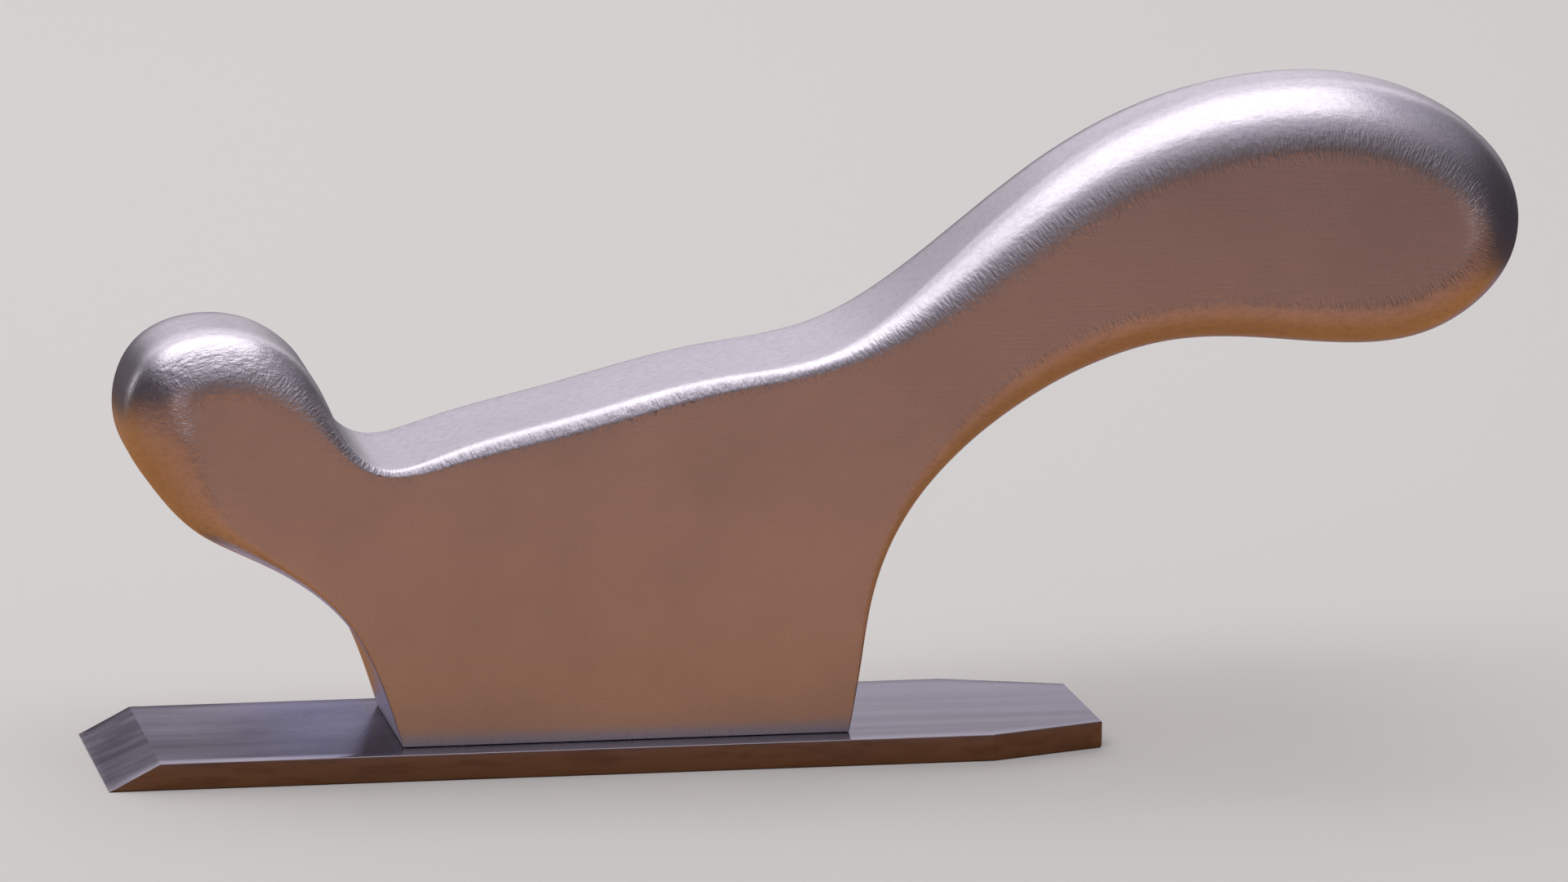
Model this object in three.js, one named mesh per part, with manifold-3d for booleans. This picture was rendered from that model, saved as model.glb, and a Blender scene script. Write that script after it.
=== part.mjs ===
// Flush-trimming plane: a one-piece cast body with a front knob, a stock and a
// squirrel-tail handle, standing on a flat chisel-like blade that three cup
// magnets hold against the sole. Millimetres, +X towards the handle, +Z up.
// The origin is under the middle of the whole plane, on the blade's back.

import * as THREE from 'three';
import { mergeVertices } from 'three/addons/utils/BufferGeometryUtils.js';
import Module from 'manifold-3d';

// ---------------------------------------------------------------- dimensions

const halfLength = 84.5;          // cutting edge at -X, end of the handle at +X

const blade = {
  length: 119.5,                  // cutting edge to the end of the tail
  width: 25.4,                    // 1 inch tool steel
  thickness: 3.175,               // 1/8 inch
  bevelRun: 6.0,                  // about 28 degrees
  taperStart: 105.3,              // from the cutting edge
  taperInset: 4.15,               // taken off each side at the tail
};

const body = {
  thickness: 19.0,                // 3/4 inch plate
  soleGap: 0.05,                  // air film between sole and blade
  edgeBreak: 0.3,                 // along the sole
  outlineSteps: 5,                // facets per control point
  roundingSteps: 4,               // facets across one rounded edge
};

const magnet = { diameter: 9.5, thickness: 3.2 };

const cup = {
  diameter: 12.7,
  floor: 1.6,
  wallGap: 0.05,                  // between the magnet and the cup's wall
  recess: 0.15,                   // how far the rim sits inside the sole
  pocketGap: 0.15,                // adhesive all round the cup
};

const screw = {
  headDiameter: 5.6,
  headHeight: 1.5,
  shankDiameter: 2.8,
  length: 9.0,
  gap: 0.1,                       // to the cup and to the tapped hole
  drive: 1.9,                     // width across the driver recess
  driveDepth: 0.9,
};

const magnetPitch = 16.5;
const roundFacets = 32;

// Outline of the body seen from the side, as the control points of a uniform
// cubic B-spline: x, z, and the reach of the edge rounding there.
const soleZ = blade.thickness + body.soleGap;
const toe = [-49.3, soleZ, body.edgeBreak];
const heel = [4, soleZ, body.edgeBreak];

const stockFront = [
  [-54, 18, 0.5],
  [-64.5, 25.5, 1],
  [-74, 28.5, 4],
];
const knob = [
  [-79, 35, 7],
  [-82.5, 40, 7],
  [-82, 47.5, 7],
  [-77, 53, 7],
  [-66.5, 53.5, 6.5],
  [-59.5, 48, 5],
];
const saddle = [
  [-57.5, 42, 2],
  [-54.5, 37.5, 0.8],
  [-50, 36, 0.8],
  [-42, 39.5, 1.8],
  [-28, 42.5, 2],
  [-13, 47, 2],
  [2, 47.5, 1],
];
const handleTop = [
  [14, 57, 5],
  [29.5, 71, 6.5],
  [46, 78.5, 7.5],
  [64, 80, 7.5],
  [77.5, 75, 7.5],
];
const handleEnd = [
  [85, 67.5, 7],
  [85.5, 56, 6.5],
  [74, 46.5, 6.5],
];
const handleUnder = [
  [58, 48, 5],
  [42, 50, 5],
  [25, 43, 5],
];
const stockRear = [
  [11.5, 32, 2],
  [6.5, 21, 1],
  [5.5, 12, 0.5],
];
const outline = [
  toe,
  ...stockFront,
  ...knob,
  ...saddle,
  ...handleTop,
  ...handleEnd,
  ...handleUnder,
  ...stockRear,
  heel,
];

// ------------------------------------------------------------------ materials

const materials = {
  body: { color: 0xb9b4b6, roughness: 0.42, metalness: 1.0 },
  blade: { color: 0x8b8890, roughness: 0.3, metalness: 1.0 },
  cup: { color: 0xa9abad, roughness: 0.35, metalness: 1.0 },
  magnet: { color: 0xc9c9cc, roughness: 0.18, metalness: 1.0 },
  screw: { color: 0x9a9ca0, roughness: 0.3, metalness: 1.0 },
};

// ----------------------------------------------------------- solid arithmetic

const wasm = await Module();
wasm.setup();

function toSolid(geometry) {
  const bare = geometry.index ? geometry.clone() : geometry;
  bare.deleteAttribute('normal');
  bare.deleteAttribute('uv');
  const merged = mergeVertices(bare, 1e-4);
  return new wasm.Manifold(new wasm.Mesh({
    numProp: 3,
    vertProperties: merged.attributes.position.array,
    triVerts: merged.index.array,
  }));
}

function toGeometry(solid) {
  const mesh = solid.getMesh();
  const geometry = new THREE.BufferGeometry();
  geometry.setAttribute('position', new THREE.BufferAttribute(mesh.vertProperties, 3));
  geometry.setIndex(new THREE.BufferAttribute(mesh.triVerts, 1));
  geometry.computeVertexNormals();
  return geometry;
}

// Solid of revolution about +Z from [radius, z] points that start and end on the axis.
function turned(profile) {
  const points = profile.map(([radius, z]) => new THREE.Vector2(radius, z));
  const geometry = new THREE.LatheGeometry(points, roundFacets);
  geometry.rotateX(Math.PI / 2);
  return geometry;
}

function disc(radius, bottom, top) {
  return turned([[0, bottom], [radius, bottom], [radius, top], [0, top]]);
}

// ----------------------------------------------------------------------- body

// Points of the uniform cubic B-spline that starts and ends on its first and
// last control points.
function splinePoints(control, steps) {
  const last = control.length - 1;
  const before = control[0].map((value, k) => 2 * value - control[1][k]);
  const after = control[last].map((value, k) => 2 * value - control[last - 1][k]);
  const all = [before, ...control, after];
  const points = [];
  for (let i = 0; i < last; i += 1) {
    for (let step = 0; step < steps; step += 1) {
      const t = step / steps;
      const weights = [
        (1 - t) ** 3 / 6,
        (3 * t ** 3 - 6 * t ** 2 + 4) / 6,
        (-3 * t ** 3 + 3 * t ** 2 + 3 * t + 1) / 6,
        t ** 3 / 6,
      ];
      points.push([0, 1, 2].map((k) => weights.reduce((sum, w, n) => sum + w * all[i + n][k], 0)));
    }
  }
  points.push(control[last]);
  return points;
}

// The closed outline with an outward direction at each point. At a corner the
// direction is lengthened, so that both edges move in by the same distance.
function bodyOutline() {
  const points = splinePoints(outline, body.outlineSteps);
  const count = points.length;
  return points.map(([x, z, reach], i) => {
    const [px, pz] = points[(i + count - 1) % count];
    const [nx, nz] = points[(i + 1) % count];
    const into = new THREE.Vector2(x - px, z - pz).normalize();
    const away = new THREE.Vector2(nx - x, nz - z).normalize();
    const normal = new THREE.Vector2(-into.y - away.y, into.x + away.x).normalize();
    const stretch = 1 / normal.dot(new THREE.Vector2(-into.y, into.x));
    return { x, z, reach, out: normal.multiplyScalar(stretch) };
  });
}

// The outline swept across the thickness, with both side edges rounded by the
// local reach, and flat side faces inside that rounding.
function bodyShell() {
  const ring = bodyOutline();
  const count = ring.length;
  const half = body.thickness / 2;
  const levels = [];
  for (let step = 0; step <= body.roundingSteps; step += 1) {
    levels.push({ side: -1, angle: (Math.PI / 2) * (1 - step / body.roundingSteps) });
  }
  for (let step = 0; step <= body.roundingSteps; step += 1) {
    levels.push({ side: 1, angle: (Math.PI / 2) * (step / body.roundingSteps) });
  }
  const positions = [];
  for (const { side, angle } of levels) {
    for (const { x, z, reach, out } of ring) {
      const inset = reach * (1 - Math.cos(angle));
      positions.push(
        x - out.x * inset,
        side * (half - reach * (1 - Math.sin(angle))),
        z - out.y * inset,
      );
    }
  }
  const indices = [];
  for (let level = 0; level + 1 < levels.length; level += 1) {
    for (let i = 0; i < count; i += 1) {
      const a = level * count + i;
      const b = level * count + ((i + 1) % count);
      const c = a + count;
      const d = b + count;
      indices.push(a, b, d, a, d, c);
    }
  }
  const face = ring.map((_, i) => new THREE.Vector2(positions[3 * i], positions[3 * i + 2]));
  const top = (levels.length - 1) * count;
  for (const [a, b, c] of THREE.ShapeUtils.triangulateShape(face, [])) {
    indices.push(a, b, c, top + a, top + c, top + b);
  }
  const geometry = new THREE.BufferGeometry();
  geometry.setAttribute('position', new THREE.Float32BufferAttribute(positions, 3));
  geometry.setIndex(indices);
  return geometry;
}

const soleCentreX = (toe[0] + heel[0]) / 2;
const magnetPositions = [-1, 0, 1].map((place) => soleCentreX + place * magnetPitch);
const rimZ = soleZ + cup.recess;
const cupHeight = cup.floor + magnet.thickness;

function bodyGeometry() {
  let solid = toSolid(bodyShell());
  const pocketTop = rimZ + cupHeight + cup.pocketGap;
  const holeTop = rimZ + magnet.thickness + screw.length + 1;
  for (const x of magnetPositions) {
    const pocket = disc(cup.diameter / 2 + cup.pocketGap, soleZ - 1, pocketTop);
    const hole = disc(screw.shankDiameter / 2 + screw.gap, pocketTop - 1, holeTop);
    for (const cut of [pocket, hole]) {
      cut.translate(x, 0, 0);
      solid = solid.subtract(toSolid(cut));
    }
  }
  return toGeometry(solid);
}

// ---------------------------------------------------------------------- blade

function bladeGeometry() {
  const half = blade.width / 2;
  const edgeX = -halfLength;
  const plan = new THREE.Shape([
    new THREE.Vector2(edgeX, -half),
    new THREE.Vector2(edgeX + blade.taperStart, -half),
    new THREE.Vector2(edgeX + blade.length, -half + blade.taperInset),
    new THREE.Vector2(edgeX + blade.length, half - blade.taperInset),
    new THREE.Vector2(edgeX + blade.taperStart, half),
    new THREE.Vector2(edgeX, half),
  ]);
  const plate = new THREE.ExtrudeGeometry(plan, { depth: blade.thickness, bevelEnabled: false });
  const slope = blade.thickness / blade.bevelRun;
  const over = 1;
  const wedge = new THREE.Shape([
    new THREE.Vector2(edgeX - over, -over * slope),
    new THREE.Vector2(edgeX + blade.bevelRun + over, blade.thickness + over * slope),
    new THREE.Vector2(edgeX - over, blade.thickness + over * slope),
  ]);
  const waste = new THREE.ExtrudeGeometry(wedge, { depth: blade.width + 2 * over, bevelEnabled: false });
  waste.rotateX(Math.PI / 2);
  waste.translate(0, half + over, 0);
  return toGeometry(toSolid(plate).subtract(toSolid(waste)));
}

// ------------------------------------------------------- cups, magnets, screws
// Each is drawn with its rim or face at z = 0, opening downwards.

function cupGeometry() {
  const outer = cup.diameter / 2;
  const inner = magnet.diameter / 2 + cup.wallGap;
  const hole = screw.shankDiameter / 2 + 2 * screw.gap;
  const sink = screw.headDiameter / 2 + screw.gap;
  return turned([
    [outer, 0],
    [outer, cupHeight],
    [hole, cupHeight],
    [hole, magnet.thickness + screw.headHeight],
    [sink, magnet.thickness],
    [inner, magnet.thickness],
    [inner, 0],
    [outer, 0],
  ]);
}

function magnetGeometry() {
  return disc(magnet.diameter / 2, 0, magnet.thickness - screw.gap / 2);
}

function screwGeometry() {
  const head = screw.headDiameter / 2;
  const shank = screw.shankDiameter / 2;
  const start = magnet.thickness + screw.gap / 2;
  const blank = turned([
    [0, start],
    [head, start],
    [shank, start + screw.headHeight],
    [shank, start + screw.length - shank],
    [0, start + screw.length],
  ]);
  const recess = new THREE.CylinderGeometry(screw.drive / 2, screw.drive / 2, 2 * screw.driveDepth, 6);
  recess.rotateX(Math.PI / 2);
  recess.translate(0, 0, start);
  return toGeometry(toSolid(blank).subtract(toSolid(recess)));
}

// ------------------------------------------------------------------- assembly

const plane = new THREE.Group();

function addPiece(parent, name, geometry, look) {
  const mesh = new THREE.Mesh(geometry, new THREE.MeshStandardMaterial(look));
  mesh.name = name;
  parent.add(mesh);
}

addPiece(plane, 'body', bodyGeometry(), materials.body);
addPiece(plane, 'blade', bladeGeometry(), materials.blade);

magnetPositions.forEach((x, index) => {
  const seat = new THREE.Group();
  seat.position.set(x, 0, rimZ);
  plane.add(seat);
  const place = index + 1;
  addPiece(seat, `magnet_cup_${place}`, cupGeometry(), materials.cup);
  addPiece(seat, `magnet_${place}`, magnetGeometry(), materials.magnet);
  addPiece(seat, `cup_screw_${place}`, screwGeometry(), materials.screw);
});

export default plane;
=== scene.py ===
import math

import bmesh
import bpy
import numpy as np
from mathutils import Matrix, Vector, noise
from mathutils.geometry import delaunay_2d_cdt


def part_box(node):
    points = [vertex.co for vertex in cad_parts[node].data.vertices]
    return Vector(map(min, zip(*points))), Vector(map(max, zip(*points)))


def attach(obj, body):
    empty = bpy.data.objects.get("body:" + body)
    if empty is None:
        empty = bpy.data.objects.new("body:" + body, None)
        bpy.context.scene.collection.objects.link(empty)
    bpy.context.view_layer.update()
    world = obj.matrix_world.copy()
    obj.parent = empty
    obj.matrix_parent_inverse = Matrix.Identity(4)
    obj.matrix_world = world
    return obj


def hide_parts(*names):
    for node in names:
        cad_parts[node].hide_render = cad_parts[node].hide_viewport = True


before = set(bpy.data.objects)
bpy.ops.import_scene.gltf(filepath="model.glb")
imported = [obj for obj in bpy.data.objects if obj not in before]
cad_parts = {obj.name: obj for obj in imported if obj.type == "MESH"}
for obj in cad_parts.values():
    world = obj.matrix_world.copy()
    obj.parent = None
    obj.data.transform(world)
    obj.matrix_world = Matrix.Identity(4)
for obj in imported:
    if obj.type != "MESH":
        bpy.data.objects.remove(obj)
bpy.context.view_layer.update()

# Lengths in this script are millimetres until a mesh is made, in the frame of the CAD model.
MM = 0.001

# ------------------------------------------------------------------ dimensions


def box_mm(node):
    low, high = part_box(node)
    return low / MM, high / MM


BODY_LOW, BODY_HIGH = box_mm("body")
THICKNESS = BODY_HIGH.y - BODY_LOW.y
SOLE_Z = BODY_LOW.z
CORNER_REACH = 0.12
SOLE_REACH = 0.12
SOLE_REACH_RUN = 4.0

# Outline of the body from the side, as in the CAD source: x, z and reach of the edge rounding.
TOE = (-49.3, SOLE_Z, CORNER_REACH)
HEEL = (4, SOLE_Z, CORNER_REACH)
STOCK_FRONT = [
    (-54, 18, 0.5),
    (-64.5, 25.5, 1),
    (-74, 28.5, 4),
]
KNOB = [
    (-79, 35, 7),
    (-82.5, 40, 7),
    (-82, 47.5, 7),
    (-77, 53, 7),
    (-66.5, 53.5, 6.5),
    (-59.5, 48, 5),
]
SADDLE = [
    (-57.5, 42, 2),
    (-54.5, 37.5, 0.8),
    (-50, 36, 0.8),
    (-42, 39.5, 1.8),
    (-28, 42.5, 2),
    (-13, 47, 2),
    (2, 47.5, 1),
]
HANDLE_TOP = [
    (14, 57, 5),
    (29.5, 71, 6.5),
    (46, 78.5, 7.5),
    (64, 80, 7.5),
    (77.5, 75, 7.5),
]
HANDLE_END = [
    (85, 67.5, 7),
    (85.5, 56, 6.5),
    (74, 46.5, 6.5),
]
HANDLE_UNDER = [
    (58, 48, 5),
    (42, 50, 5),
    (25, 43, 5),
]
STOCK_REAR = [
    (11.5, 32, 2),
    (6.5, 21, 1),
    (5.5, 12, 0.5),
]
OUTLINE = [TOE, *STOCK_FRONT, *KNOB, *SADDLE, *HANDLE_TOP, *HANDLE_END, *HANDLE_UNDER, *STOCK_REAR, HEEL]

SPLINE_STEPS = 16
ROUNDING_STEPS = 20
CREST_TURNS = [(0, 0), (0.13, 8), (0.38, 60), (0.84, 81), (1, 90)]
CHAMFER_TURNS = [(0, 0), (0.2, 12), (0.5, 42), (0.86, 54), (1, 90)]
SOLE_TURNS = [(0, 0), (0.2, 45), (0.85, 62), (1, 90)]
ACROSS_STEPS = 8
SOLE_STEPS = 70
FACE_GRID = 0.95
SOLE_GRID = 1.6
GRID_MARGIN = 0.6  # spacings kept clear inside an outline

BLADE_LOW, BLADE_HIGH = box_mm("blade")
BLADE_LENGTH, BLADE_WIDTH, BLADE_THICKNESS = BLADE_HIGH - BLADE_LOW
BLADE_START = BLADE_LOW.x
BEVEL_RUN = 6.0
TAPER_START = 105.3
TAPER_INSET = 4.15
TAIL_SKEW = 1.4
BLADE_CORNER = 0.14
TAIL_CHAMFER = 0.12
EDGE_THICKNESS = 0.03

MAGNET_COUNT = 3
CUP_LOW, CUP_HIGH = box_mm("magnet_cup_1")
CUP_RADIUS = (CUP_HIGH.y - CUP_LOW.y) / 2
CUP_HEIGHT = CUP_HIGH.z - CUP_LOW.z
RIM_Z = CUP_LOW.z
MAGNET_LOW, MAGNET_HIGH = box_mm("magnet_1")
MAGNET_RADIUS = (MAGNET_HIGH.y - MAGNET_LOW.y) / 2
MAGNET_THICKNESS = MAGNET_HIGH.z - MAGNET_LOW.z
CUP_FLOOR = 3.2
CUP_RIM_MIDDLE = 5.6
CUP_HOLE_RADIUS = 1.6
COUNTERSINK_RADIUS = 2.95
COUNTERSINK_DEPTH = 1.5
MAGNET_GAP = 0.05
NEAR_AXIS = 0.01
SCREW_LOW, SCREW_HIGH = box_mm("cup_screw_1")
POCKET_GAP = 0.15
SCREW_HOLE_RADIUS = 1.5
SCREW_HOLE_TOP = RIM_Z + 13.2
SCREW_HOLE_POINT = 0.6
CIRCLE_STEPS = 72


def middle_x(node):
    low, high = box_mm(node)
    return (low.x + high.x) / 2


MAGNETS_X = [middle_x(f"magnet_{place}") for place in range(1, MAGNET_COUNT + 1)]

# --------------------------------------------------------------------- helpers


def link(obj):
    bpy.context.scene.collection.objects.link(obj)
    return obj


def smoothstep(low, high, value):
    t = np.clip((np.asarray(value, float) - low) / (high - low), 0, 1)
    return t * t * (3 - 2 * t)


def mesh_object(name, points_mm, faces, weld_mm=0.002):
    """A smooth-shaded mesh from millimetre points, with coincident points joined."""
    mesh = bpy.data.meshes.new(name)
    mesh.from_pydata([tuple(p * MM for p in point) for point in points_mm], [], faces)
    work = bmesh.new()
    work.from_mesh(mesh)
    bmesh.ops.remove_doubles(work, verts=work.verts, dist=weld_mm * MM)
    bmesh.ops.recalc_face_normals(work, faces=work.faces)
    work.to_mesh(mesh)
    work.free()
    mesh.polygons.foreach_set("use_smooth", [True] * len(mesh.polygons))
    return link(bpy.data.objects.new(name, mesh))


def set_attribute(obj, name, values):
    layer = obj.data.attributes.new(name, "FLOAT", "POINT")
    layer.data.foreach_set("value", np.asarray(values, np.float32))


def positions_mm(obj):
    flat = np.empty(len(obj.data.vertices) * 3, np.float32)
    obj.data.vertices.foreach_get("co", flat)
    return flat.reshape(-1, 3) / MM


def wave(points, size, seed):
    """Smooth noise from -1 to 1 with features of that size in millimetres."""
    shift = Vector((seed * 17.3, seed * 5.1, seed * 9.7))
    return np.array([noise.noise(Vector(p) / size + shift) for p in points.tolist()])


def inside(polygon, points):
    """Which points lie inside a closed polygon."""
    x, z = points[:, 0][:, None], points[:, 1][:, None]
    x1, z1 = polygon[:, 0], polygon[:, 1]
    x2, z2 = np.roll(x1, -1), np.roll(z1, -1)
    crosses = (z1 > z) != (z2 > z)
    rise = np.where(z2 == z1, 1e-9, z2 - z1)
    return (crosses & (x < (x2 - x1) * (z - z1) / rise + x1)).sum(1) % 2 == 1


# ------------------------------------------------------------------- body mesh


def spline(control, steps):
    """Uniform cubic B-spline that starts and ends on its first and last control points."""
    control = np.array(control, float)
    first = 2 * control[0] - control[1]
    last = 2 * control[-1] - control[-2]
    padded = np.vstack([first, control, last])
    t = np.arange(steps) / steps
    weights = np.stack([(1 - t) ** 3, 3 * t**3 - 6 * t**2 + 4, -3 * t**3 + 3 * t**2 + 3 * t + 1, t**3], 1) / 6
    spans = [weights @ padded[i : i + 4] for i in range(len(control) - 1)]
    return np.vstack([*spans, control[-1:]])


def rounded_corner(before, corner, after, radius, steps=4):
    """Points of a small curve that replaces a corner."""
    start = corner + (before - corner) / np.linalg.norm((before - corner)[:2]) * radius
    end = corner + (after - corner) / np.linalg.norm((after - corner)[:2]) * radius
    t = np.linspace(0, 1, steps + 1)[:, None]
    return (1 - t) ** 2 * start + 2 * t * (1 - t) * corner + t**2 * end


def body_ring():
    """The closed outline: x, z and reach, round from the toe over the top to the heel and the sole."""
    curve = spline(OUTLINE, SPLINE_STEPS)
    toe, heel = curve[0], curve[-1]
    share = np.linspace(0, 1, SOLE_STEPS)[:, None]
    sole = heel + (toe - heel) * share
    from_corner = np.minimum(heel[0] - sole[:, 0], sole[:, 0] - toe[0])
    sole[:, 2] += (SOLE_REACH - CORNER_REACH) * smoothstep(0, SOLE_REACH_RUN, from_corner)
    toe_curve = rounded_corner(sole[-2], toe, curve[1], CORNER_REACH + 0.02)
    heel_curve = rounded_corner(curve[-2], heel, sole[1], CORNER_REACH + 0.02)
    half_toe = len(toe_curve) // 2
    return np.vstack([toe_curve[half_toe:], curve[1:-1], heel_curve, sole[1:-1], toe_curve[:half_toe]])


def ring_normals(ring):
    ahead = np.roll(ring[:, :2], -1, 0) - ring[:, :2]
    behind = ring[:, :2] - np.roll(ring[:, :2], 1, 0)
    ahead /= np.linalg.norm(ahead, axis=1)[:, None]
    behind /= np.linalg.norm(behind, axis=1)[:, None]
    along = ahead + behind
    along /= np.linalg.norm(along, axis=1)[:, None]
    return np.stack([-along[:, 1], along[:, 0]], 1)


def edge_profile(turns):
    """Inset and depth of a rounded edge, as shares of its reach, from the angles it turns through."""
    middles = np.radians((turns[1:] + turns[:-1]) / 2)
    inset = np.concatenate([[0], np.cumsum(np.sin(middles))])
    depth = np.concatenate([[0], np.cumsum(np.cos(middles))])
    return inset / inset[-1], 1 - depth / depth[-1]


def profile_of(turns):
    steps = np.linspace(0, 1, ROUNDING_STEPS + 1)
    return edge_profile(np.interp(steps, *zip(*turns)))


def knob_share(x, z):
    """How far a point of the outline belongs to the knob, from 0 to 1."""
    return smoothstep(-58, -68, x) * smoothstep(25, 30, z)


def saddle_share(x, z):
    """How far a point of the outline belongs to the saddle, from 0 to 1."""
    return smoothstep(-58, -53, x) * smoothstep(2, -10, x) * smoothstep(32, 35, z)


def body_patches():
    """The closed outline, and rows of points over the edge from one side face to the other.

    The edge is evenly round along the handle and stock, nearly flat up to a crest and then a
    broad facet on the knob, and closer to a chamfer along the saddle and sole."""
    ring = body_ring()
    normals = ring_normals(ring)
    half = THICKNESS / 2
    reach = ring[:, 2]
    knob = knob_share(ring[:, 0], ring[:, 1])
    saddle = saddle_share(ring[:, 0], ring[:, 1])
    sole = smoothstep(SOLE_Z + 0.5, SOLE_Z, ring[:, 1])
    shares = [1 - knob - saddle - sole, knob, saddle, sole]
    profiles = [profile_of(turns) for turns in ([(0, 0), (1, 90)], CREST_TURNS, CHAMFER_TURNS, SOLE_TURNS)]

    def row(side, step):
        inset = reach * sum(share * profile[0][step] for share, profile in zip(shares, profiles))
        depth = reach * sum(share * profile[1][step] for share, profile in zip(shares, profiles))
        xz = ring[:, :2] - normals * inset[:, None]
        return np.stack([xz[:, 0], side * (half - depth), xz[:, 1]], 1)

    near = [row(-1, step) for step in range(ROUNDING_STEPS, -1, -1)]
    far = [row(1, step) for step in range(ROUNDING_STEPS + 1)]
    between = [near[-1] + (far[0] - near[-1]) * k / ACROSS_STEPS for k in range(1, ACROSS_STEPS)]
    return ring, [*near, *between, *far]


def strip_faces(rows, skip):
    """Quads between rows round the closed ring, apart from those that skip names."""
    count = len(rows[0])
    faces = []
    for level in range(len(rows) - 1):
        for i in range(count):
            if skip(level, i):
                continue
            a = level * count + i
            b = level * count + (i + 1) % count
            faces.append((a, b, b + count, a + count))
    return faces


def distance_to_loop(points, loop):
    """How far each point is from the nearest side of a closed polygon."""
    run = np.roll(loop, -1, 0) - loop
    squared = np.maximum((run**2).sum(1), 1e-12)
    nearest = []
    for point in points:
        share = np.clip(((point - loop) * run).sum(1) / squared, 0, 1)
        nearest.append(np.min(np.hypot(*(loop + run * share[:, None] - point).T)))
    return np.array(nearest)


def fill_loop(loop, spacing, holes=()):
    """Triangles over a flat closed loop, with a grid of points inside it and round holes left out."""
    loop = np.asarray(loop, float)
    low, high = loop.min(0), loop.max(0)
    step = spacing * math.sqrt(3) / 2
    grid = []
    for j, z in enumerate(np.arange(low[1] + step, high[1], step)):
        shift = spacing / 2 if j % 2 else 0
        grid += [(x + shift, z) for x in np.arange(low[0], high[0], spacing)]
    grid = np.array(grid)
    grid = grid[inside(loop, grid)]
    grid = grid[distance_to_loop(grid, loop) > spacing * GRID_MARGIN]
    edges = [(i, (i + 1) % len(loop)) for i in range(len(loop))]
    points = [tuple(p) for p in loop]
    for centre, radius in holes:
        grid = grid[np.hypot(*(grid - centre).T) > radius + spacing * GRID_MARGIN]
        start = len(points)
        points += circle(centre, radius)
        edges += [(start + i, start + (i + 1) % CIRCLE_STEPS) for i in range(CIRCLE_STEPS)]
    points += [tuple(p) for p in grid]
    found = delaunay_2d_cdt([Vector(p) for p in points], edges, [], 1, 1e-6)
    flat = np.array([tuple(p) for p in found[0]])
    faces = []
    for face in found[2]:
        middle = flat[list(face)].mean(0)
        if all(np.hypot(*(middle - centre)) > radius for centre, radius in holes):
            faces.append(tuple(face))
    return flat, faces


def circle(centre, radius):
    turns = [2 * math.pi * k / CIRCLE_STEPS for k in range(CIRCLE_STEPS)]
    return [(centre[0] + radius * math.cos(a), centre[1] + radius * math.sin(a)) for a in turns]


def pocket(centre_x):
    """Wall, ceiling and screw hole of one magnet pocket, open at the sole."""
    radius = CUP_RADIUS + POCKET_GAP
    ceiling = RIM_Z + CUP_HEIGHT + POCKET_GAP
    profile = [
        (radius, SOLE_Z),
        (radius, ceiling),
        (SCREW_HOLE_RADIUS, ceiling),
        (SCREW_HOLE_RADIUS, SCREW_HOLE_TOP),
        (2 * NEAR_AXIS, SCREW_HOLE_TOP + SCREW_HOLE_POINT),
    ]
    points, faces = [], []
    for radius, z in profile:
        points += [(x, y, z) for x, y in circle((centre_x, 0), radius)]
    for level in range(len(profile) - 1):
        for i in range(CIRCLE_STEPS):
            a = level * CIRCLE_STEPS + i
            b = level * CIRCLE_STEPS + (i + 1) % CIRCLE_STEPS
            faces.append((a, b, b + CIRCLE_STEPS, a + CIRCLE_STEPS))
    last = (len(profile) - 1) * CIRCLE_STEPS
    faces.append(tuple(range(last, last + CIRCLE_STEPS)))
    return points, faces


def body_mesh():
    ring, rows = body_patches()
    count = len(ring)
    flat_level = ROUNDING_STEPS
    points = [tuple(p) for r in rows for p in r]
    in_sole = np.isclose(ring[:, 1], SOLE_Z, atol=1e-6)

    def skip(level, i):
        across = flat_level <= level < flat_level + ACROSS_STEPS
        return across and in_sole[i] and in_sole[(i + 1) % count]

    faces = strip_faces(rows, skip)

    def add(new_points, new_faces):
        start = len(points)
        points.extend(tuple(p) for p in new_points)
        faces.extend(tuple(start + i for i in face) for face in new_faces)

    for end in (0, len(rows) - 1):
        loop = rows[end][:, [0, 2]]
        flat, tris = fill_loop(loop, FACE_GRID)
        y = rows[end][0, 1]
        add([(x, y, z) for x, z in flat], tris)

    sole = np.nonzero(in_sole)[0]
    near_side = [rows[flat_level][i] for i in sole]
    far_side = [rows[flat_level + ACROSS_STEPS][i] for i in reversed(sole)]
    toe_end = [rows[flat_level + k][sole[-1]] for k in range(1, ACROSS_STEPS)]
    heel_end = [rows[flat_level + k][sole[0]] for k in range(ACROSS_STEPS - 1, 0, -1)]
    loop = np.array([*near_side, *toe_end, *far_side, *heel_end])[:, :2]
    holes = [((x, 0.0), CUP_RADIUS + POCKET_GAP) for x in MAGNETS_X]
    flat, tris = fill_loop(loop, SOLE_GRID, holes)
    add([(x, y, SOLE_Z) for x, y in flat], tris)
    for x in MAGNETS_X:
        add(*pocket(x))
    return ring, rows, mesh_object("plane_body", points, faces)


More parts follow.
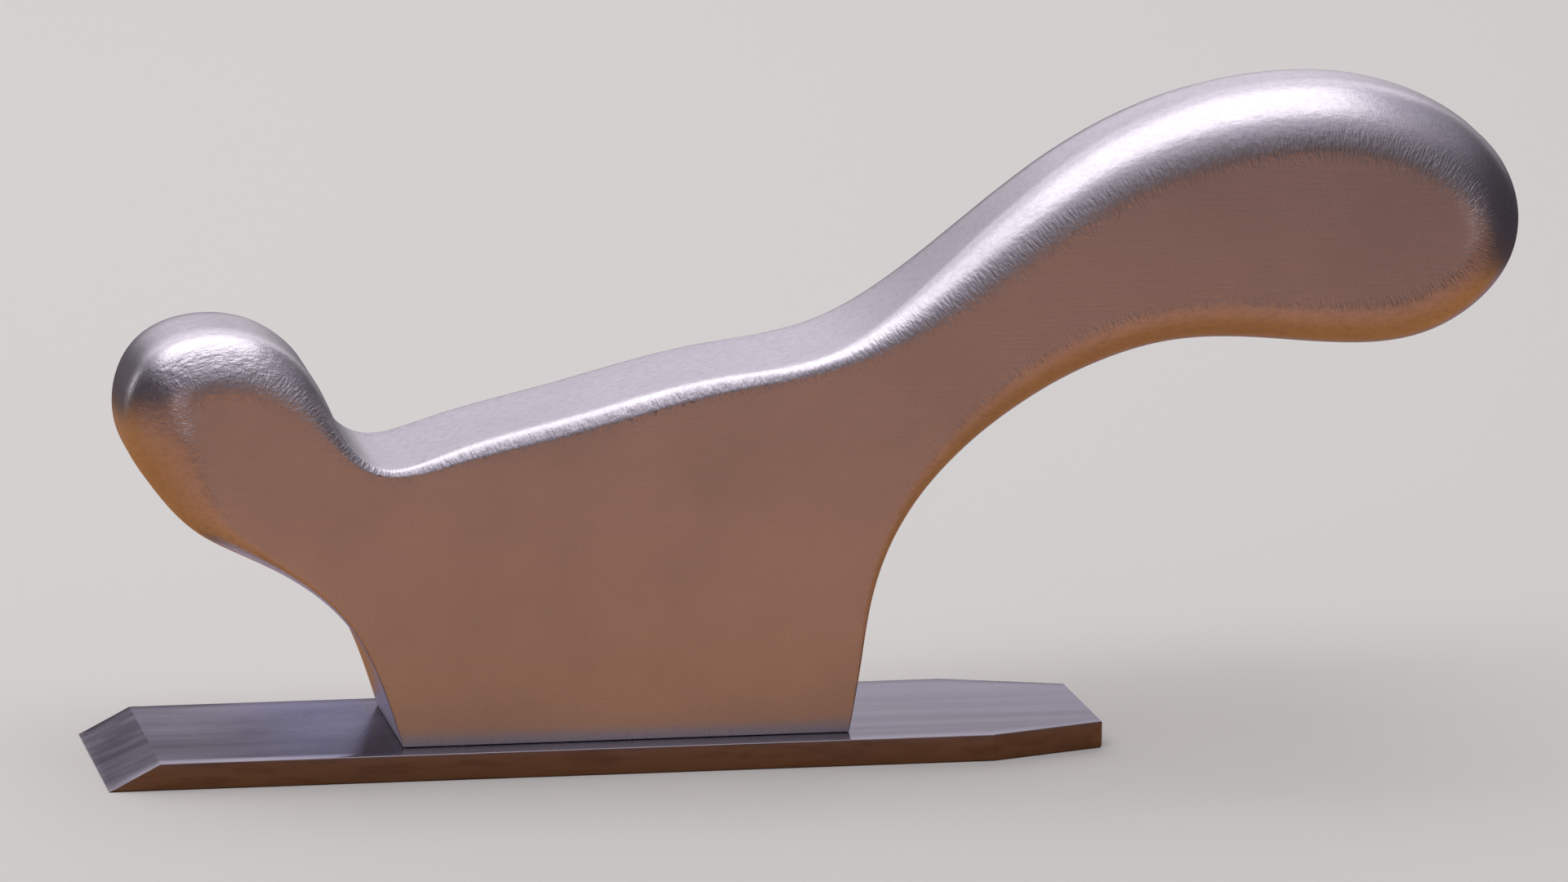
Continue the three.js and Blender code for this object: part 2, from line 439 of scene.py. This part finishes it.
def edge_coordinates(ring, rows, points):
    """For each point: millimetres along the outline, and millimetres inwards from the rim of the
    flat side face (negative on the rounded edge)."""
    steps = np.linalg.norm(np.diff(ring[:, :2], axis=0), axis=1)
    along_ring = np.concatenate([[0], np.cumsum(steps)])
    rim = rows[0][:, [0, 2]]
    along = np.empty(len(points))
    inward = np.empty(len(points))
    half = THICKNESS / 2
    on_face = np.abs(np.abs(points[:, 1]) - half) < 0.01
    for first in range(0, len(points), 4000):
        part = slice(first, first + 4000)
        xz = points[part][:, [0, 2]]
        target = np.where(on_face[part][:, None, None], rim[None], ring[None, :, :2])
        distance = np.linalg.norm(xz[:, None] - target, axis=2)
        nearest = distance.argmin(1)
        gap = distance[np.arange(len(xz)), nearest]
        reach = ring[nearest, 2]
        depth = np.clip((half - np.abs(points[part][:, 1])) / reach, 0, None)
        turn = np.where(depth < 1, np.arccos(1 - np.minimum(depth, 1)), depth - 1 + math.pi / 2)
        along[part] = along_ring[nearest]
        inward[part] = np.where(on_face[part], gap, -turn * reach)
    return along, inward


def shape_by_hand(obj, along, inward):
    """Small unevenness of a surface that was rounded over and sanded by hand."""
    points = positions_mm(obj)
    x, z = points[:, 0], points[:, 2]
    normals = np.empty(len(points) * 3, np.float32)
    obj.data.vertices.foreach_get("normal", normals)
    normals = normals.reshape(-1, 3)
    facing_up = normals[:, 2] + smoothstep(1.5, 0.0, np.abs(inward)) * 0.2
    above_sole = smoothstep(SOLE_Z + 1, SOLE_Z + 6, z)
    knob = knob_share(x, z)
    handle = smoothstep(4, 22, x)
    edge = smoothstep(2.5, 0.5, inward)
    dimpled = np.clip(knob + 0.2 * handle, 0, 1) * smoothstep(2.5, 0, inward) * smoothstep(-8.5, -5, inward)
    dimpled *= 0.25 + 0.75 * smoothstep(-0.05, 0.45, facing_up)
    lift = above_sole * (0.022 * wave(points, 14, 1) + 0.012 * wave(points, 6, 2))
    lift += above_sole * edge * np.clip(knob + handle, 0, 1) * 0.03 * wave(points, 9, 3)
    lift += dimpled * (0.03 * wave(points, 2.6, 4) + 0.014 * wave(points, 1.4, 5))
    moved = points + normals * lift[:, None]
    obj.data.vertices.foreach_set("co", (moved * MM).astype(np.float32).ravel())
    obj.data.update()
    set_attribute(obj, "along", along)
    set_attribute(obj, "inward", inward)
    set_attribute(obj, "dimpled", dimpled)
    set_attribute(obj, "upper", smoothstep(30, 36, z) * smoothstep(-0.35, 0.1, facing_up))
    set_attribute(obj, "wear_and_sheen", saddle_share(x, z))
    set_attribute(obj, "low", smoothstep(SOLE_Z + 1.8, SOLE_Z + 0.2, z))


# ------------------------------------------------------------------ blade mesh


def blade_section(x):
    """Half width and top of the blade at x millimetres behind the cutting edge."""
    taper = max(0.0, x - TAPER_START) / (BLADE_LENGTH - TAPER_START)
    half = BLADE_WIDTH / 2 - TAPER_INSET * taper
    top = max(EDGE_THICKNESS, min(BLADE_THICKNESS, BLADE_THICKNESS * x / BEVEL_RUN))
    return half, top


def rounded_rectangle(half, top, corner):
    """Cross-section points: y, z, from the middle of the bottom round to the start."""
    corner = min(corner, top / 3)
    centres = [
        (half - corner, corner, -90),
        (half - corner, top - corner, 0),
        (-half + corner, top - corner, 90),
        (-half + corner, corner, 180),
    ]
    points = []
    flats = 14
    for index, (cy, cz, start) in enumerate(centres):
        arc = [math.radians(start + 90 * k / 4) for k in range(5)]
        points += [(cy + corner * math.cos(a), cz + corner * math.sin(a)) for a in arc]
        ny, nz, next_start = centres[(index + 1) % 4]
        turn = math.radians(next_start)
        end = (ny + corner * math.cos(turn), nz + corner * math.sin(turn))
        here = points[-1]
        count = flats if index % 2 else 3
        points += [
            (here[0] + (end[0] - here[0]) * k / count, here[1] + (end[1] - here[1]) * k / count)
            for k in range(1, count)
        ]
    return points


def blade_stations():
    """Distances behind the cutting edge of the blade's sections, closer where its shape turns."""
    bevel = [BEVEL_RUN - 0.07, BEVEL_RUN, BEVEL_RUN + 0.07]
    shoulder = [TAPER_START - 0.1, TAPER_START, TAPER_START + 0.1]
    stations = [0, 0.15, *np.linspace(0.6, BEVEL_RUN - 0.5, 12), *bevel]
    stations += [*np.linspace(BEVEL_RUN + 1, TAPER_START - 0.8, 110), *shoulder]
    stations += np.linspace(TAPER_START + 1, BLADE_LENGTH - 0.6, 14).tolist()
    return [*stations, BLADE_LENGTH - TAIL_CHAMFER, BLADE_LENGTH]


def blade_mesh():
    stations = blade_stations()
    points, faces = [], []
    for index, x in enumerate(stations):
        half, top = blade_section(x)
        for y, z in rounded_rectangle(half, top, BLADE_CORNER):
            if index == len(stations) - 1:
                y -= math.copysign(min(TAIL_CHAMFER, abs(y)), y)
                z += TAIL_CHAMFER if z < top / 2 else -TAIL_CHAMFER
            skew = TAIL_SKEW * float(smoothstep(90, 105, x)) * (y / BLADE_WIDTH + 0.5)
            points.append((BLADE_START + x - skew, y, z))
    count = len(points) // len(stations)
    for level in range(len(stations) - 1):
        for i in range(count):
            a = level * count + i
            b = level * count + (i + 1) % count
            faces.append((a, b, b + count, a + count))
    faces.append(tuple(range(count)))
    last = (len(stations) - 1) * count
    faces.append(tuple(range(last, last + count)))
    obj = mesh_object("blade_bar", points, faces, 0.0005)
    mark_sharp(obj, 12)
    position = positions_mm(obj)
    half = np.array([blade_section(x - BLADE_START)[0] for x in position[:, 0]])
    from_side = half - np.abs(position[:, 1])
    set_attribute(obj, "flank", smoothstep(0.16, 0.05, from_side))
    # where a painted highlight runs along the top edges of the blade
    arris_highlight_mask = smoothstep(0.18, 0.12, from_side) * smoothstep(0.0, 0.03, from_side)
    arris_highlight_mask *= smoothstep(BLADE_THICKNESS - 0.2, BLADE_THICKNESS - 0.1, position[:, 2])
    set_attribute(obj, "arris_highlight", arris_highlight_mask)
    return obj


def mark_sharp(obj, degrees):
    work = bmesh.new()
    work.from_mesh(obj.data)
    limit = math.radians(degrees)
    for edge in work.edges:
        if len(edge.link_faces) == 2 and edge.calc_face_angle(0) > limit:
            edge.smooth = False
    work.to_mesh(obj.data)
    work.free()


# -------------------------------------------------------- cups, magnets, screws


def turned(name, profile, centre, segments=96):
    """Solid of revolution about a vertical axis from (radius, z) points."""
    points, faces = [], []
    for radius, z in profile:
        for k in range(segments):
            a = 2 * math.pi * k / segments
            points.append((centre + radius * math.cos(a), radius * math.sin(a), z))
    levels = len(profile)
    closed = profile[0] == profile[-1]
    for level in range(levels - 1):
        for k in range(segments):
            a = level * segments + k
            b = level * segments + (k + 1) % segments
            faces.append((a, b, b + segments, a + segments))
    if not closed:
        faces.append(tuple(range(segments)))
        faces.append(tuple(range((levels - 1) * segments, levels * segments)))
    obj = mesh_object(name, points, faces)
    mark_sharp(obj, 40)
    return obj


def soft_profile(corners, radius, steps=3):
    """A profile with each inner corner replaced by a small curve."""
    corners = [np.array(c, float) for c in corners]
    points = [tuple(corners[0])]
    for before, corner, after in zip(corners, corners[1:], corners[2:]):
        start = corner + (before - corner) / np.linalg.norm(before - corner) * radius
        end = corner + (after - corner) / np.linalg.norm(after - corner) * radius
        for t in np.linspace(0, 1, steps + 1):
            points.append(tuple((1 - t) ** 2 * start + 2 * t * (1 - t) * corner + t**2 * end))
    points.append(tuple(corners[-1]))
    return points


def make_cup(name, x):
    floor = RIM_Z + CUP_FLOOR
    top = RIM_Z + CUP_HEIGHT
    bore = MAGNET_RADIUS + MAGNET_GAP
    corners = [
        (CUP_RIM_MIDDLE, RIM_Z),
        (CUP_RADIUS, RIM_Z),
        (CUP_RADIUS, top),
        (CUP_HOLE_RADIUS, top),
        (CUP_HOLE_RADIUS, floor + COUNTERSINK_DEPTH),
        (COUNTERSINK_RADIUS, floor),
        (bore, floor),
        (bore, RIM_Z),
        (CUP_RIM_MIDDLE, RIM_Z),
    ]
    return turned(name, soft_profile(corners, 0.12), x)


def make_magnet(name, x):
    corners = [
        (NEAR_AXIS, RIM_Z),
        (MAGNET_RADIUS, RIM_Z),
        (MAGNET_RADIUS, RIM_Z + MAGNET_THICKNESS),
        (NEAR_AXIS, RIM_Z + MAGNET_THICKNESS),
    ]
    return turned(name, soft_profile(corners, 0.25, 5), x)


def make_screw(name, x):
    """Flat-head socket screw with a rolled thread."""
    start, tip = SCREW_LOW.z, SCREW_HIGH.z
    head, shank, pitch, depth = 2.8, 1.4, 0.5, 0.14
    segments, points, faces = 48, [], []
    levels = [(0.9, start + 0.9, 0), (0.95, start + 0.05, 0), (1.05, start, 0), (head - 0.1, start, 0)]
    levels += [(head, start + 0.1, 0), (shank, start + 1.5, 0), (shank, start + 2.0, 0)]
    thread_from, thread_to = start + 2.1, tip - 0.7
    count = int((thread_to - thread_from) / pitch * 10)
    for k in range(count + 1):
        levels.append((shank, thread_from + (thread_to - thread_from) * k / count, depth))
    levels += [(shank - 0.15, tip - 0.5, 0), (0.7, tip, 0), (0.02, tip, 0)]
    for radius, z, groove in levels:
        for k in range(segments):
            turn = k / segments
            phase = ((z - thread_from) / pitch - turn) % 1
            r = radius - groove * (1 - abs(2 * phase - 1))
            socket = radius < 1.0 and z < start + 1
            if socket:
                sector = (turn * 6 + 0.5) % 1 - 0.5
                r = radius * math.cos(math.pi / 6) / math.cos(sector * math.pi / 3)
            a = 2 * math.pi * turn
            points.append((x + r * math.cos(a), r * math.sin(a), z))
    for level in range(len(levels) - 1):
        for k in range(segments):
            a = level * segments + k
            b = level * segments + (k + 1) % segments
            faces.append((a, b, b + segments, a + segments))
    faces.append(tuple(range(segments)))
    faces.append(tuple(range((len(levels) - 1) * segments, len(levels) * segments)))
    obj = mesh_object(name, points, faces)
    mark_sharp(obj, 35)
    return obj


# ------------------------------------------------------------------- materials


def node_math(nodes, links, operation, first, second):
    node = nodes.new("ShaderNodeMath")
    node.operation = operation
    for socket, value in zip(node.inputs, (first, second)):
        if isinstance(value, (int, float)):
            socket.default_value = value
        else:
            links.new(value, socket)
    return node.outputs[0]


class Finish:
    """A node material built up from layers of procedural detail."""

    def __init__(self, name, color, roughness, metallic=1.0):
        self.material = bpy.data.materials.new(name)
        self.material.use_nodes = True
        self.nodes = self.material.node_tree.nodes
        self.links = self.material.node_tree.links
        self.shader = self.nodes["Principled BSDF"]
        self.shader.inputs["Base Color"].default_value = (*color, 1)
        self.shader.inputs["Roughness"].default_value = roughness
        self.shader.inputs["Metallic"].default_value = metallic
        self.place = self.nodes.new("ShaderNodeTexCoord").outputs["Object"]
        self.normal = None

    def link(self, source, target):
        self.links.new(source, target)

    def across(self):
        """Object-space X and Y."""
        node = self.nodes.new("ShaderNodeSeparateXYZ")
        self.link(self.place, node.inputs[0])
        return node.outputs["X"], node.outputs["Y"]

    def attribute(self, name):
        node = self.nodes.new("ShaderNodeAttribute")
        node.attribute_name = name
        return node.outputs["Fac"]

    def math(self, operation, first, second):
        return node_math(self.nodes, self.links, operation, first, second)

    def window(self, value, low, high, out_low=0.0, out_high=1.0):
        """Smooth ramp of a value from out_low at low to out_high at high."""
        node = self.nodes.new("ShaderNodeMapRange")
        node.interpolation_type = "SMOOTHSTEP"
        self.link(value, node.inputs["Value"])
        node.inputs["From Min"].default_value = low
        node.inputs["From Max"].default_value = high
        node.inputs["To Min"].default_value = out_low
        node.inputs["To Max"].default_value = out_high
        return node.outputs["Result"]

    def mapping(self, vector, scale=(1, 1, 1), turn=0):
        node = self.nodes.new("ShaderNodeMapping")
        node.inputs["Scale"].default_value = scale
        node.inputs["Rotation"].default_value = (0, 0, math.radians(turn))
        self.link(vector, node.inputs["Vector"])
        return node.outputs["Vector"]

    def stretched(self, scale, turn=0):
        """Object space turned about Z, and then scaled along its new axes."""
        return self.mapping(self.mapping(self.place, turn=turn), scale)

    def combine(self, x, y, z=0.0):
        node = self.nodes.new("ShaderNodeCombineXYZ")
        for socket, value in zip(node.inputs, (x, y, z)):
            if isinstance(value, (int, float)):
                socket.default_value = value
            else:
                self.link(value, socket)
        return node.outputs["Vector"]

    def noise(self, vector, scale=1.0, detail=3.0, roughness=0.55):
        node = self.nodes.new("ShaderNodeTexNoise")
        self.link(vector, node.inputs["Vector"])
        node.inputs["Scale"].default_value = scale
        node.inputs["Detail"].default_value = detail
        node.inputs["Roughness"].default_value = roughness
        return node.outputs["Fac"]

    def mix(self, factor, first, second):
        node = self.nodes.new("ShaderNodeMix")
        node.data_type = "RGBA"
        self.link(factor, node.inputs["Factor"])
        for socket, value in ((node.inputs[6], first), (node.inputs[7], second)):
            if isinstance(value, tuple):
                socket.default_value = (*value, 1)
            else:
                self.link(value, socket)
        return node.outputs[2]

    def bump(self, height, depth_mm, strength=1.0):
        node = self.nodes.new("ShaderNodeBump")
        node.inputs["Distance"].default_value = depth_mm * MM
        if isinstance(strength, float):
            node.inputs["Strength"].default_value = strength
        else:
            self.link(strength, node.inputs["Strength"])
        self.link(height, node.inputs["Height"])
        if self.normal is not None:
            self.link(self.normal, node.inputs["Normal"])
        self.normal = node.outputs["Normal"]

    def done(self, color=None, roughness=None):
        if color is not None:
            self.link(color, self.shader.inputs["Base Color"])
        if roughness is not None:
            self.link(roughness, self.shader.inputs["Roughness"])
        if self.normal is not None:
            self.link(self.normal, self.shader.inputs["Normal"])
        return self.material


def body_finish():
    """Satin aluminium: flat sides lapped along their length, edges filed and sanded across."""
    f = Finish("satin_aluminium", (0.79, 0.77, 0.78), 0.4)
    inward = f.attribute("inward")
    along = f.attribute("along")
    dimpled = f.attribute("dimpled")
    wear_and_sheen = f.attribute("wear_and_sheen")
    low = f.attribute("low")
    side = f.window(inward, -0.6, 0.6)
    off_side = f.math("SUBTRACT", 1.0, side)
    clouds = f.noise(f.place, 55, 4)
    grain = f.noise(f.place, 4200, 3)
    brushing = f.noise(f.stretched((130, 2600, 2600)), 1, 4, 0.65)
    lapping = f.noise(f.stretched((4300, 4300, 420)), 1, 4, 0.7)
    strokes = f.noise(f.combine(f.math("MULTIPLY", along, 2.6), f.math("MULTIPLY", inward, 0.8)), 1, 3)
    fine = f.noise(f.combine(f.math("MULTIPLY", along, 8.0), f.math("MULTIPLY", inward, 0.9)), 1, 2)
    filed = f.noise(f.combine(f.math("MULTIPLY", along, 0.6), f.math("MULTIPLY", inward, 1.7)), 1, 5, 0.6)
    hatch = f.noise(f.stretched((3200, 3200, 500)), 1, 2)
    satin = f.noise(f.stretched((1000, 2000, 2000)), 1, 5, 0.65)
    fringe = f.math("MULTIPLY", f.window(inward, 0.0, 1.8, 1.0, 0.0), f.window(inward, -4.5, -1.4))
    fringe = f.math("MULTIPLY", fringe, f.attribute("upper"))
    f.bump(brushing, 0.028, side)
    f.bump(lapping, 0.010, side)
    f.bump(fine, 0.012, off_side)
    f.bump(strokes, 0.13, fringe)
    f.bump(hatch, 0.14, low)
    f.bump(filed, 0.15, dimpled)
    f.bump(satin, 0.022, off_side)
    f.bump(grain, 0.008, 1.0)
    nicks = f.math("MULTIPLY", f.window(inward, -0.5, -0.1), f.window(inward, 0.0, 0.45, 1.0, 0.0))
    nicks = f.math("MULTIPLY", nicks, wear_and_sheen)
    nicks = f.math("MULTIPLY", nicks, f.window(f.noise(f.place, 1100, 2), 0.62, 0.68))
    specks = f.math("MULTIPLY", side, f.window(f.noise(f.place, 1900, 3), 0.70, 0.76))
    color = f.mix(f.window(clouds, 0.35, 0.7), (0.81, 0.79, 0.80), (0.73, 0.71, 0.71))
    color = f.mix(f.math("MULTIPLY", f.window(grain, 0.35, 0.7), 0.22), color, (0.55, 0.53, 0.54))
    satin_dark = f.math("MULTIPLY", off_side, f.window(satin, 0.42, 0.66, 0.0, 0.4))
    color = f.mix(satin_dark, color, (0.52, 0.50, 0.53))
    color = f.mix(f.math("MULTIPLY", specks, 0.35), color, (0.34, 0.31, 0.30))
    color = f.mix(f.math("MULTIPLY", nicks, 0.6), color, (0.20, 0.17, 0.17))
    roughness = f.window(side, 0, 1, 0.36, 0.40)
    roughness = f.math("ADD", roughness, f.math("MULTIPLY", f.math("SUBTRACT", clouds, 0.5), 0.12))
    roughness = f.math("SUBTRACT", roughness, f.math("MULTIPLY", dimpled, 0.07))
    roughness = f.math("ADD", roughness, f.math("MULTIPLY", low, 0.22))
    return f.done(color, roughness)


def blade_finish():
    """Ground tool steel with a darker stoned bevel, and duller mottled sides painted darker as shade."""
    f = Finish("ground_tool_steel", (0.40, 0.385, 0.42), 0.2)
    x, y = f.across()
    bevel_end = (BLADE_START + BEVEL_RUN) * MM
    on_bevel = f.window(x, bevel_end - 0.04 * MM, bevel_end + 0.04 * MM, 1.0, 0.0)
    flank = f.attribute("flank")
    grind = f.noise(f.stretched((40, 3600, 3600)), 1, 3)
    bands = f.noise(f.stretched((14, 300, 300)), 1, 3)
    haze = f.noise(f.stretched((50, 120, 120)), 1, 4)
    stone = f.noise(f.stretched((70, 620, 200), 14), 1, 4)
    stone_fine = f.noise(f.stretched((160, 4200, 900), 14), 1, 3)
    mottle = f.noise(f.stretched((150, 900, 900)), 1, 5, 0.55)
    grain = f.noise(f.place, 6000, 2)
    # painted reflection: a bluish patch on the blade top in front of the toe, also rougher as frosting
    painted_reflection_and_frost = f.math("MULTIPLY", f.window(x, -0.072, -0.058), f.window(x, -0.052, -0.049, 1.0, 0.0))
    painted_reflection_and_frost = f.math("MULTIPLY", painted_reflection_and_frost, f.window(f.noise(f.place, 5200, 3), 0.25, 0.70))
    # the far part of the blade top: a painted sheen in a lighter colour, and a rougher haze
    wear_and_sheen = f.window(f.math("ADD", y, f.math("MULTIPLY", f.math("SUBTRACT", haze, 0.5), 0.008)), -0.006, 0.014)
    f.bump(grind, 0.007, 1.0)
    f.bump(stone_fine, 0.010, on_bevel)
    f.bump(grain, 0.0015, 1.0)
    color = f.mix(f.window(bands, 0.35, 0.68), (0.32, 0.305, 0.35), (0.235, 0.22, 0.255))
    # painted sheen: a lighter colour on the far part of the blade top
    color = f.mix(f.math("MULTIPLY", wear_and_sheen, 0.6), color, (0.41, 0.39, 0.45))
    # painted reflection: a bluish colour on the blade top in front of the toe
    color = f.mix(f.math("MULTIPLY", painted_reflection_and_frost, 0.9), color, (0.20, 0.215, 0.40))
    bevel_color = f.mix(f.window(stone, 0.42, 0.64), (0.19, 0.175, 0.20), (0.30, 0.29, 0.325))
    color = f.mix(on_bevel, color, bevel_color)
    # painted shade: the blade's sides are mixed towards darker colours, over a duller finish
    dull_shaded_side_color = f.mix(f.window(mottle, 0.42, 0.75), (0.31, 0.275, 0.285), (0.23, 0.20, 0.205))
    color = f.mix(flank, color, dull_shaded_side_color)
    # painted highlight: a lighter colour along the top edges of the blade
    color = f.mix(f.math("MULTIPLY", f.attribute("arris_highlight"), 0.4), color, (0.40, 0.37, 0.39))
    roughness = f.window(haze, 0.3, 0.7, 0.14, 0.24)
    roughness = f.math("ADD", roughness, f.math("MULTIPLY", wear_and_sheen, 0.10))
    roughness = f.math("ADD", roughness, f.math("MULTIPLY", painted_reflection_and_frost, 0.08))
    roughness = f.math("ADD", roughness, f.math("MULTIPLY", flank, 0.14))
    return f.done(color, roughness)


def plated_finish(name, color, roughness, depth_mm):
    f = Finish(name, color, roughness)
    clouds = f.noise(f.place, 900, 3)
    grain = f.noise(f.place, 7000, 2)
    f.bump(grain, depth_mm, 1.0)
    darker = tuple(0.8 * c for c in color)
    return f.done(f.mix(clouds, color, darker), f.window(clouds, 0.3, 0.7, roughness, roughness + 0.08))


# ---------------------------------------------------------------------- pieces


def dress(obj, material, body, slot, *nodes):
    obj.data.materials.append(material)
    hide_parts(*nodes)
    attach(obj, body)


def make_body():
    ring, rows, obj = body_mesh()
    along, inward = edge_coordinates(ring, rows, positions_mm(obj))
    shape_by_hand(obj, along, inward)
    dress(obj, body_finish(), "plane_body", "body_aluminium", "body")


def make_blade():
    dress(blade_mesh(), blade_finish(), "blade", "blade_steel", "blade")


def make_magnets():
    cup = plated_finish("zinc_plate", (0.62, 0.62, 0.64), 0.3, 0.001)
    nickel = plated_finish("bright_nickel", (0.78, 0.77, 0.75), 0.14, 0.0004)
    steel = plated_finish("machined_steel", (0.55, 0.55, 0.56), 0.3, 0.001)
    for place, x in enumerate(MAGNETS_X, 1):
        shell, disc, fixing = f"cup_{place}", f"disc_magnet_{place}", f"cup_fixing_{place}"
        dress(make_cup(shell, x), cup, "plane_body", "cup_steel", f"magnet_cup_{place}")
        dress(make_magnet(disc, x), nickel, "plane_body", "magnet_nickel", f"magnet_{place}")
        dress(make_screw(fixing, x), steel, "plane_body", "screw_steel", f"cup_screw_{place}")


# ----------------------------------------------------------------------- stage


def flat_sheet(name, low, high, height, color, roughness):
    """A level matt rectangle under the plane."""
    mesh = bpy.data.meshes.new(name)
    corners = [(low[0], low[1]), (high[0], low[1]), (high[0], high[1]), (low[0], high[1])]
    mesh.from_pydata([(x, y, height) for x, y in corners], [], [(0, 1, 2, 3)])
    sheet = link(bpy.data.objects.new(name, mesh))
    paint = Finish(f"{name}_paint", color, roughness, 0.0)
    paint.shader.inputs["Specular IOR Level"].default_value = 0.0
    mesh.materials.append(paint.material)
    return sheet


def painted_bench_reflection():
    """Painted reflections that only the metal mirrors: bench brown in front, darker far in front, more golden
    under the plane and a pale patch behind its stock.
    """
    f = Finish("painted_bench_reflection", (0.56, 0.29, 0.15), 0.8, 0.0)
    x, y = f.across()
    # painted reflection: a pale patch behind the stock for the metal to mirror
    behind = f.math("MULTIPLY", f.window(y, 0.035, 0.06), f.window(x, -0.082, -0.066))
    color = f.mix(f.window(y, -0.32, -0.16), (0.39, 0.18, 0.10), (0.55, 0.27, 0.14))
    color = f.mix(f.window(y, -0.09, -0.01), color, (0.47, 0.21, 0.05))
    return f.done(f.mix(behind, color, (0.30, 0.27, 0.33)))


def make_floor():
    """A pale floor, and a bench-coloured card in its place that only the metal's reflections see."""
    floor = flat_sheet("floor", (-4, -4), (4, 4), -0.00006, (0.80, 0.82, 0.72), 0.7)
    floor.visible_glossy = False
    card = flat_sheet("bench_card", (-0.6, -0.34), (0.16, 0.16), -0.00003, (0.56, 0.29, 0.15), 0.8)
    card.data.materials[0] = painted_bench_reflection()
    card.visible_camera = False
    card.visible_diffuse = False
    card.visible_shadow = False


def area_light(name, place, aim, size, power, color):
    data = bpy.data.lights.new(name, "AREA")
    data.shape = "RECTANGLE"
    data.size, data.size_y = size
    data.energy = power
    data.color = color
    lamp = link(bpy.data.objects.new(name, data))
    lamp.location = place
    lamp.rotation_euler = (Vector(aim) - Vector(place)).to_track_quat("-Z", "Y").to_euler()
    return lamp


def make_world():
    """A dim room: dark at the horizon and towards both ends, lighter above."""
    world = bpy.data.worlds.new("studio")
    bpy.context.scene.world = world
    world.use_nodes = True
    nodes, links = world.node_tree.nodes, world.node_tree.links
    place = nodes.new("ShaderNodeTexCoord")
    split = nodes.new("ShaderNodeSeparateXYZ")
    ramp = nodes.new("ShaderNodeValToRGB")
    links.new(place.outputs["Generated"], split.inputs[0])
    ends = node_math(nodes, links, "MULTIPLY", split.outputs["X"], split.outputs["X"])
    ends = node_math(nodes, links, "MULTIPLY", ends, 0.5)
    rear = node_math(nodes, links, "MULTIPLY", split.outputs["Y"], 0.07)
    height = node_math(nodes, links, "ADD", split.outputs["Z"], rear)
    links.new(node_math(nodes, links, "SUBTRACT", height, ends), ramp.inputs["Fac"])
    ramp.color_ramp.elements[0].color = (0.045, 0.04, 0.05, 1)
    ramp.color_ramp.elements[0].position = 0.15
    ramp.color_ramp.elements[1].color = (0.34, 0.31, 0.39, 1)
    ramp.color_ramp.elements[1].position = 0.5
    links.new(ramp.outputs["Color"], nodes["Background"].inputs["Color"])


def make_lights():
    soft = (0.98, 0.93, 1.0)
    aim = (0, 0, 0.04)
    area_light("overhead", (-0.14, 0.08, 0.85), (-0.14, 0.1, 0.04), (1.1, 1.1), 5.2, soft)
    area_light("front_fill", (0.1, -0.9, 0.75), aim, (1.0, 0.55), 0.2, soft)
    area_light("back_top", (0.0, 0.78, 0.53), aim, (1.2, 0.46), 1.25, soft)
    area_light("back_window", (0.48, 0.82, 0.22), aim, (0.75, 0.24), 0.25, soft)
    area_light("left_window", (-0.75, 0.61, 0.2), (-0.08, 0, 0.045), (0.10, 0.3), 0.2, soft)
    area_light("front_low", (0.17, -0.86, 0.225), aim, (0.5, 0.12), 0.09, soft)
    bpy.context.scene.view_settings.view_transform = "Standard"


def make_camera():
    """A long lens at the height and side that the plane is usually shown from."""
    azimuth, elevation, roll = (math.radians(a) for a in (-11.27, 14.32, 1.05))
    level = Vector((math.sin(azimuth), -math.cos(azimuth), 0))
    back = level * math.cos(elevation) + Vector((0, 0, math.sin(elevation)))
    right = Vector((math.cos(azimuth), math.sin(azimuth), 0))
    up = back.cross(right)
    right_rolled = right * math.cos(roll) + up * math.sin(roll)
    up_rolled = up * math.cos(roll) - right * math.sin(roll)
    target = Vector((-0.0026, 0, 0.03644))
    distance = 1.5407
    data = bpy.data.cameras.new("camera")
    data.lens = 300
    data.sensor_width = 36
    data.clip_start = 0.05
    camera = link(bpy.data.objects.new("camera", data))
    turn = Matrix((right_rolled, up_rolled, back)).transposed().to_4x4()
    camera.matrix_world = Matrix.Translation(target + back * distance) @ turn
    bpy.context.scene.camera = camera


make_camera()
make_body()
make_blade()
make_magnets()
make_floor()
make_world()
make_lights()
